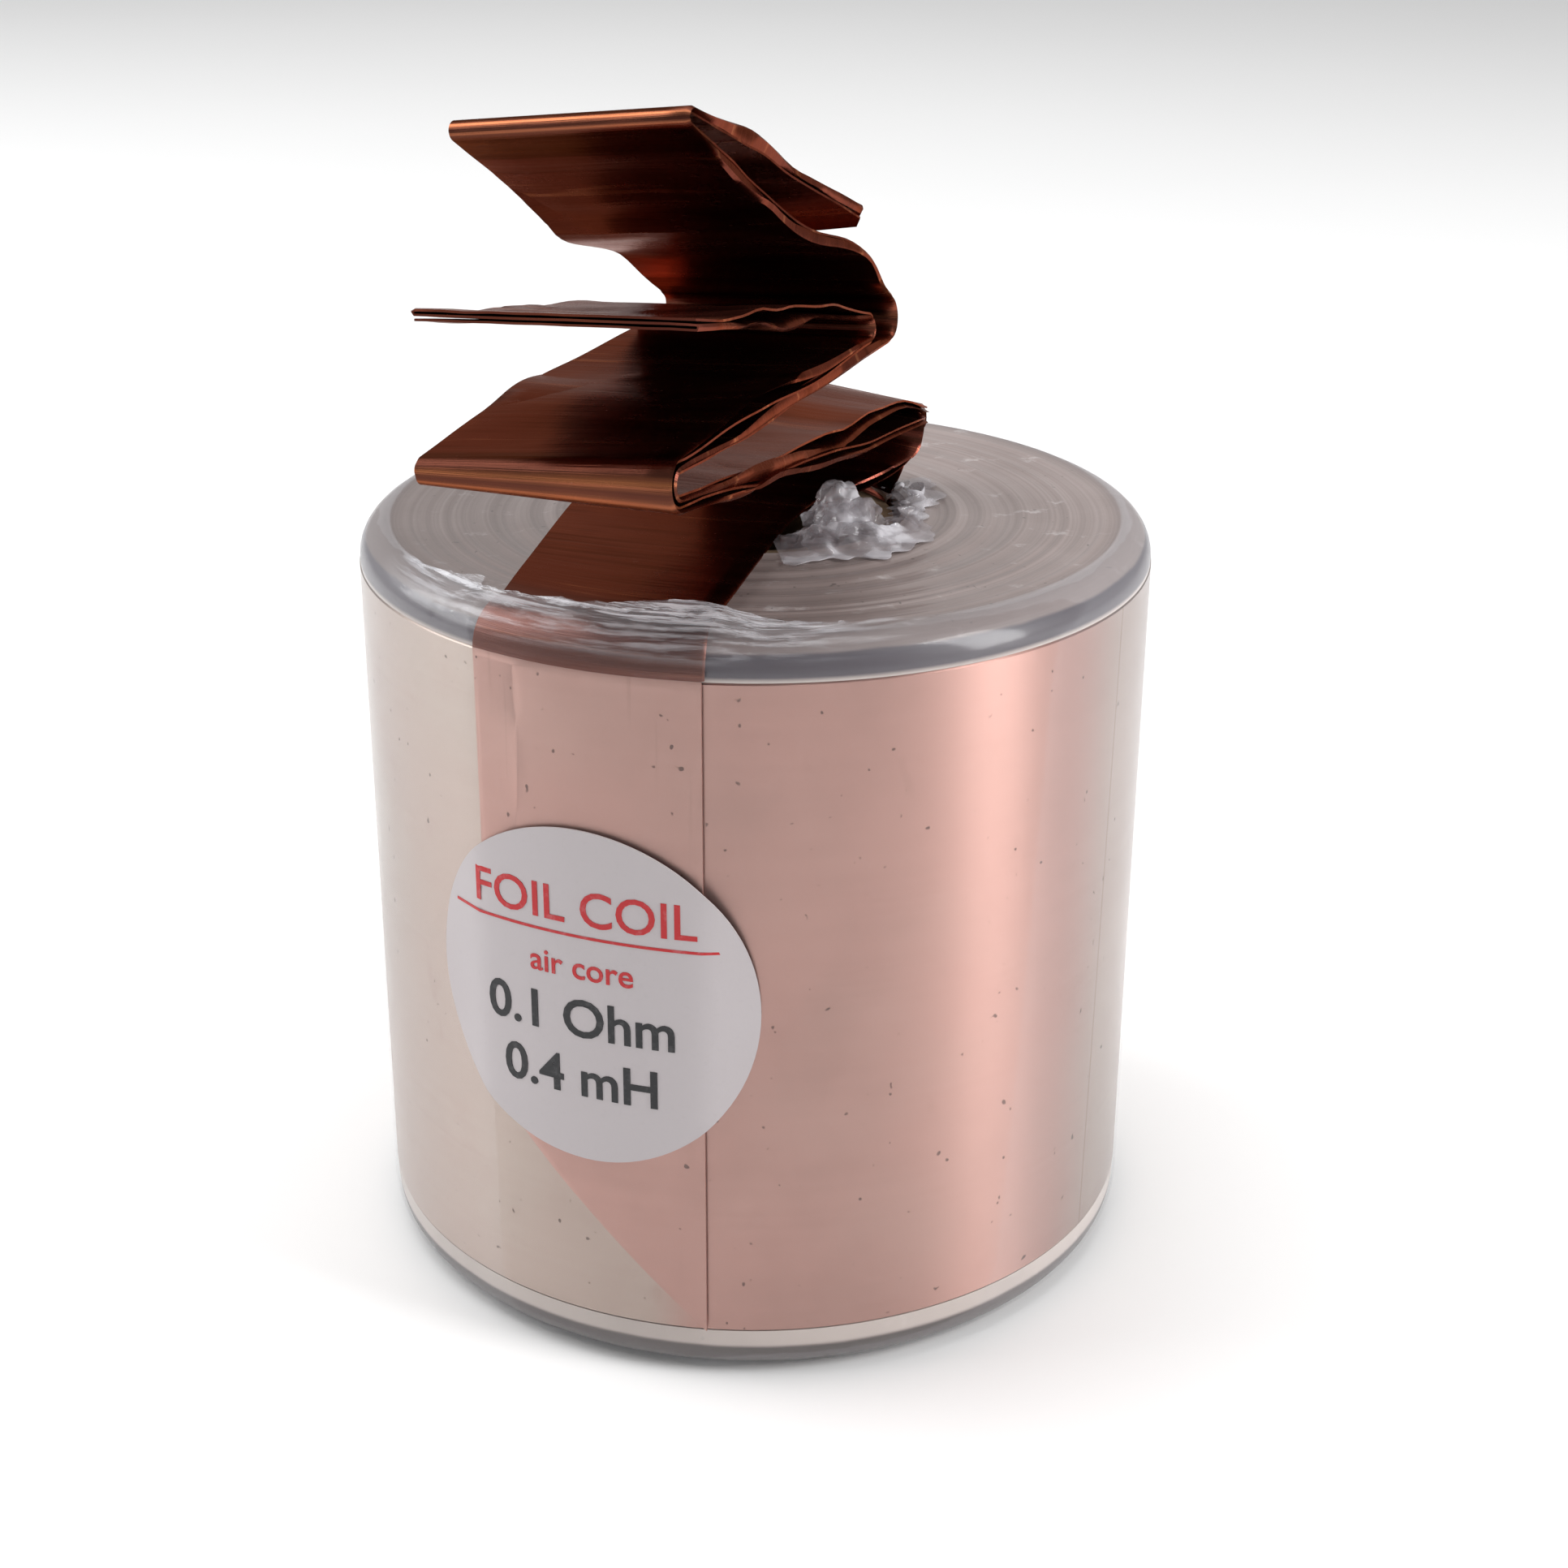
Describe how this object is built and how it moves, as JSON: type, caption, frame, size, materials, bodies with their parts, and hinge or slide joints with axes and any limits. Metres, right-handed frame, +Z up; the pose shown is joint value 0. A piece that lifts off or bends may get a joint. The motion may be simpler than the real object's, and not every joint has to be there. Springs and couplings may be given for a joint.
{
  "type": "foil-wound air-core coil",
  "caption": "Upright roll of copper foil and clear film on a card tube, in a shrunk clear sleeve with a round label; folded copper foil leads rise from the top in an accordion.",
  "frame": {"origin": "on the coil's axis, in the plane of the lower rim that it stands on", "axes": "+Z up along the coil's axis, -Y the front, the side from which the folded leads are seen opening out and the label is left of the middle"},
  "size_m": [0.052, 0.0685, 0.0809],
  "materials": {
    "foil": "satin rolled copper foil",
    "lead_foil": "rolled copper foil, darkened and creased",
    "film": "wound edges of clear film, greyish and slightly cloudy",
    "sleeve_film": "clear shrink film, glossy",
    "label_paper": "matt pale grey label",
    "kraft": "tan spiral-wound card",
    "glue": "clear hot-melt glue, cloudy"
  },
  "bodies": {
    "coil": {"core_tube": "kraft", "copper_winding": "foil", "film_winding": "film", "sleeve": "sleeve_film", "label": "label_paper", "outer_lead_side_run": "lead_foil", "outer_lead_rim_bend": "lead_foil", "outer_lead_panel_a": "lead_foil", "inner_lead_core_run": "lead_foil", "inner_lead_riser": "lead_foil", "hot_glue": "glue", "crumpled_film": "film"},
    "panels_b": {"outer_lead_panel_b": "lead_foil", "inner_lead_panel_b": "lead_foil"},
    "panels_c": {"outer_lead_panel_c": "lead_foil", "inner_lead_panel_c": "lead_foil"},
    "panel_d": {"outer_lead_panel_d": "lead_foil"},
    "panel_e": {"inner_lead_panel_e": "lead_foil"},
    "panel_f": {"inner_lead_panel_f": "lead_foil"}
  },
  "joints": [
    {"name": "loop_fold", "type": "hinge", "parent": "coil", "child": "panels_b", "pos_m": [0.00264, 0.00654, 0.0544], "axis": [-0.9398, 0.3199, 0.12], "range_deg": [-12, 60]},
    {"name": "front_fold", "type": "hinge", "parent": "panels_b", "child": "panels_c", "pos_m": [-0.0105, -0.036, 0.0627], "axis": [0.9205, -0.3852, 0.065], "range_deg": [-8, 95]},
    {"name": "outer_back_fold", "type": "hinge", "parent": "panels_c", "child": "panel_d", "pos_m": [-0.00035, -0.014, 0.0653], "axis": [-0.9275, 0.369, -0.0598], "range_deg": [-14, 6]},
    {"name": "inner_back_fold", "type": "hinge", "parent": "panels_c", "child": "panel_e", "pos_m": [0.0009, -0.0113, 0.0654], "axis": [-0.9104, 0.4102, -0.055], "range_deg": [-6, 85]},
    {"name": "top_fold", "type": "hinge", "parent": "panel_e", "child": "panel_f", "pos_m": [-0.0094, -0.0292, 0.0791], "axis": [0.8502, -0.5101, 0.13], "range_deg": [0, 110]}
  ]
}
